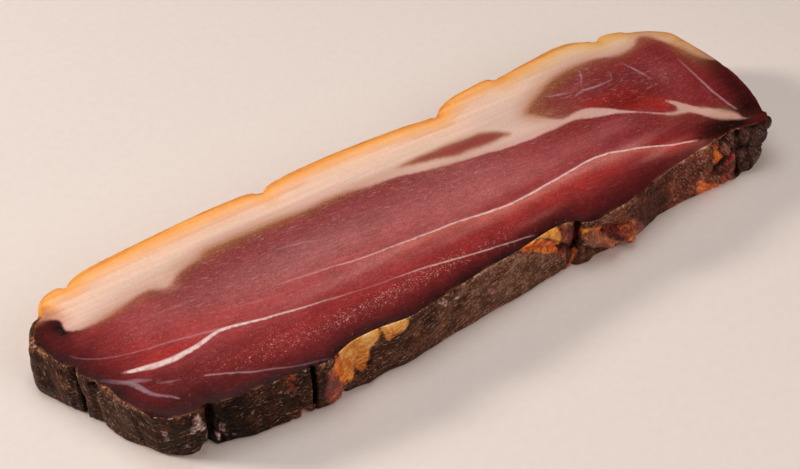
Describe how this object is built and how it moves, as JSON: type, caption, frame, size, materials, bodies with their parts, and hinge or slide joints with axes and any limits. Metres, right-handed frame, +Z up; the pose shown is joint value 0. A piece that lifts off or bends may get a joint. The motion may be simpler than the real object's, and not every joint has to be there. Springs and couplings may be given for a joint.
{
  "type": "smoked bacon slice",
  "caption": "Thick long slice of dry-cured smoked bacon lying on its cut face, with a fat cap along one side and a dark cracked crust along the other.",
  "frame": {"origin": "under the middle of the slice, on the surface that it lies on", "axes": "+X along the slice towards the end with the second muscle, +Y towards the fat rim, +Z up out of the cut face on show"},
  "size_m": [0.2648, 0.0788, 0.0222],
  "materials": {
    "cured_meat": "moist cut face of cured lean and fat with a dry dark crust"
  },
  "bodies": {
    "root": {"bacon_slice": "cured_meat"}
  },
  "joints": []
}
